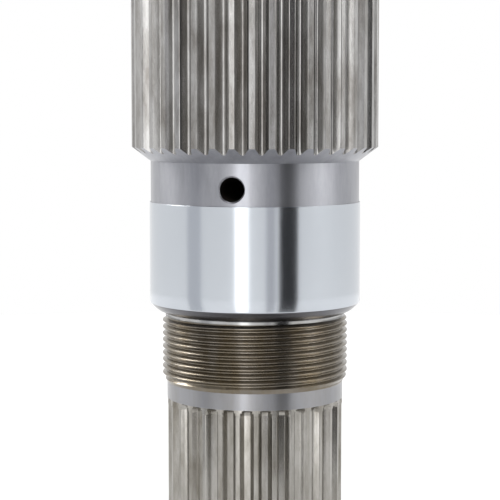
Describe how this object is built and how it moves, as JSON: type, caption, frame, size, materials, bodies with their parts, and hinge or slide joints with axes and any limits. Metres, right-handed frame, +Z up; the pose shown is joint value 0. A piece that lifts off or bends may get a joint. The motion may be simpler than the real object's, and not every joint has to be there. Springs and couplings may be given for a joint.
{
  "type": "splined shaft",
  "caption": "Stepped steel shaft with a large and a small involute spline, a ground bearing seat, a locknut thread and an oil hole into an axial gallery.",
  "frame": {"origin": "centre of the small spline's end face, which the shaft stands on", "axes": "+Z up the shaft's axis towards the large spline, -Y towards the front, with the oil hole a little to its left"},
  "size_m": [0.0524, 0.0524, 0.138],
  "materials": {
    "shaft_steel": "hardened steel, used: mirror-ground bearing seat, turned neck and land, splines with a grey-brown patina, oily thread"
  },
  "bodies": {
    "root": {"splined_shaft": "shaft_steel"}
  },
  "joints": []
}
